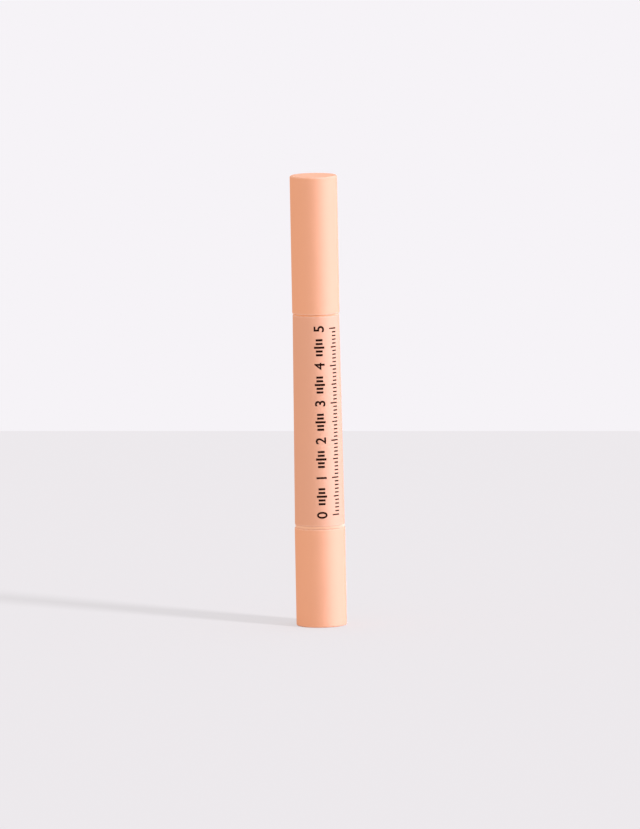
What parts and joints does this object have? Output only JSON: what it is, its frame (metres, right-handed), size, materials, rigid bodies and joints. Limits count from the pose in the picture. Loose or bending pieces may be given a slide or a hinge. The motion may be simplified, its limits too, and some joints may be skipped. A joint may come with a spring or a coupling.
{
  "type": "twist-up nail oil pen",
  "caption": "Upright twist pen: turning the end knob drives a screw and piston that feed oil to a brush under a pull-off cap.",
  "frame": {"origin": "centre of the flat end of the knob, which the pen stands on", "axes": "+Z along the pen's axis, from the knob up to the cap"},
  "size_m": [0.014, 0.014, 0.1258],
  "materials": {
    "skin_cap": "matte",
    "skin_barrel": "matte",
    "skin_knob": "matte",
    "joint_ring": "matte",
    "skin_moulding": "satin",
    "natural_moulding": "satin",
    "clear_moulding": "gloss",
    "acetal": "satin",
    "seal_rubber": "satin",
    "bristle": "satin"
  },
  "bodies": {
    "barrel": {"tail_bush": "joint_ring", "ratchet_ring": "natural_moulding", "drive_nut": "acetal", "barrel_shell": "skin_barrel", "reservoir_tube": "clear_moulding", "nozzle": "skin_moulding", "nozzle_o_ring": "seal_rubber", "cap_o_ring": "seal_rubber", "feed_tube": "clear_moulding", "brush_ferrule": "natural_moulding", "brush_bristles": "bristle"},
    "cap": {"cap_liner": "natural_moulding", "cap_shell": "skin_cap"},
    "knob": {"knob_shell": "skin_knob", "knob_core": "natural_moulding", "drive_sleeve": "acetal", "drive_o_ring": "seal_rubber", "pawl_ring": "acetal"},
    "screw": {"lead_screw": "acetal"},
    "piston": {"piston": "acetal", "piston_seal": "seal_rubber"}
  },
  "joints": [
    {"name": "cap_pull", "type": "slide", "parent": "barrel", "child": "cap", "axis": [0, 0, 1], "range_m": [0, 0.04]},
    {"name": "knob_twist", "type": "hinge", "parent": "barrel", "child": "knob", "pos_m": [0, 0, 0], "axis": [0, 0, 1], "range_deg": [0, 5581], "deforming": ["pawl_ring"]},
    {"name": "screw_feed", "type": "slide", "parent": "knob", "child": "screw", "axis": [0, 0, 1], "range_m": [0, 0.03101]},
    {"name": "piston_feed", "type": "slide", "parent": "barrel", "child": "piston", "axis": [0, 0, 1], "range_m": [0, 0.031]}
  ],
  "couplings": [
    {"joint": "knob_twist", "follows": "piston_feed", "rad_per_m": 3141.6},
    {"joint": "screw_feed", "follows": "piston_feed", "ratio": 1}
  ]
}
